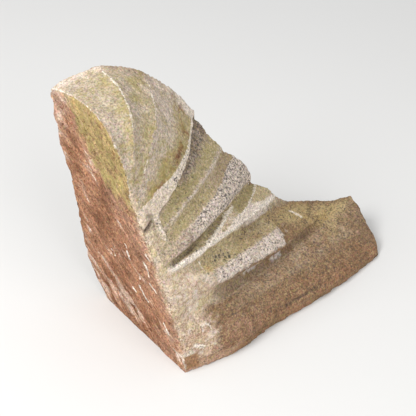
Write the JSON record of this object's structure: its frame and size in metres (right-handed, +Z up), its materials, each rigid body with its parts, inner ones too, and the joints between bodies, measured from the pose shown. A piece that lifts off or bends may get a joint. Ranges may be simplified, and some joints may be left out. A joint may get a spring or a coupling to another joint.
{
  "type": "carved stone corbel fragment",
  "caption": "Weathered sandstone corbel fragment with a fan of carved leaf flutes and folds, a flat side face and a low foot, standing on its flat bed.",
  "frame": {"origin": "middle of the underside of the bounding box, on the floor", "axes": "+X to the right along the front lower edge, +Y from the carved front to the back, +Z up"},
  "size_m": [0.4936, 0.3168, 0.4313],
  "materials": {
    "sandstone": "rough, weathered"
  },
  "bodies": {
    "root": {"corbel": "sandstone"}
  },
  "joints": []
}
